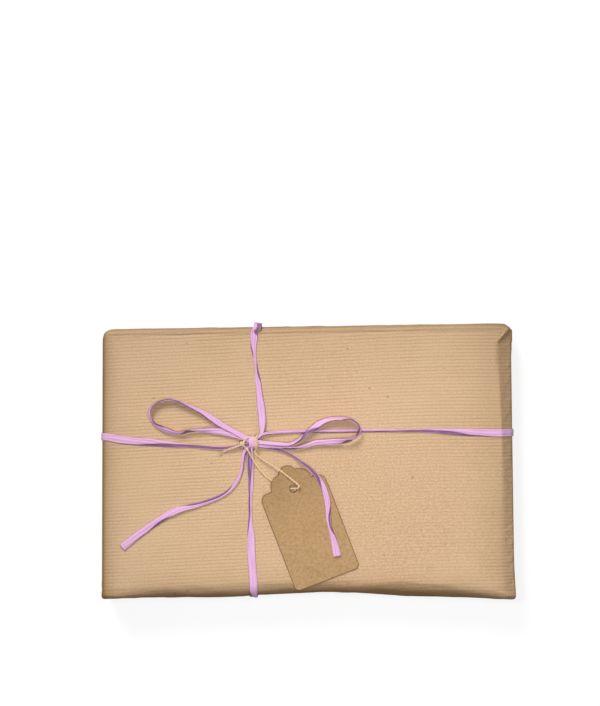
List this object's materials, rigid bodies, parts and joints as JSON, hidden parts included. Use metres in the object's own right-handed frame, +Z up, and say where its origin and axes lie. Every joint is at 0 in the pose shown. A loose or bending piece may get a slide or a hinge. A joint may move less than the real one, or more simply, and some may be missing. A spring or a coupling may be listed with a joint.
{
  "type": "paper wrapped parcel",
  "caption": "Flat box wrapped in ribbed kraft paper, tied both ways with lilac paper raffia in a bow, with a kraft gift tag hung on jute twine.",
  "frame": {"origin": "middle of the underside, on the surface that the parcel lies on", "axes": "+X along the parcel's length, +Y from the tag's foot towards the bow's far side, +Z up out of the top with the bow"},
  "size_m": [0.2493, 0.1662, 0.0365],
  "materials": {
    "kraft_paper": "matte, ribbed",
    "paper_raffia": "satin, creased",
    "kraft_card": "matte, flecked",
    "jute": "hairy, twisted",
    "clear_tape": "glossy, clear"
  },
  "bodies": {
    "root": {"wrapped_parcel": "kraft_paper", "raffia_ribbon": "paper_raffia", "gift_tag": "kraft_card", "tag_twine": "jute", "tape_back_left": "clear_tape", "tape_back_middle": "clear_tape", "tape_back_right": "clear_tape", "tape_end_left": "clear_tape", "tape_end_right": "clear_tape"}
  },
  "joints": []
}
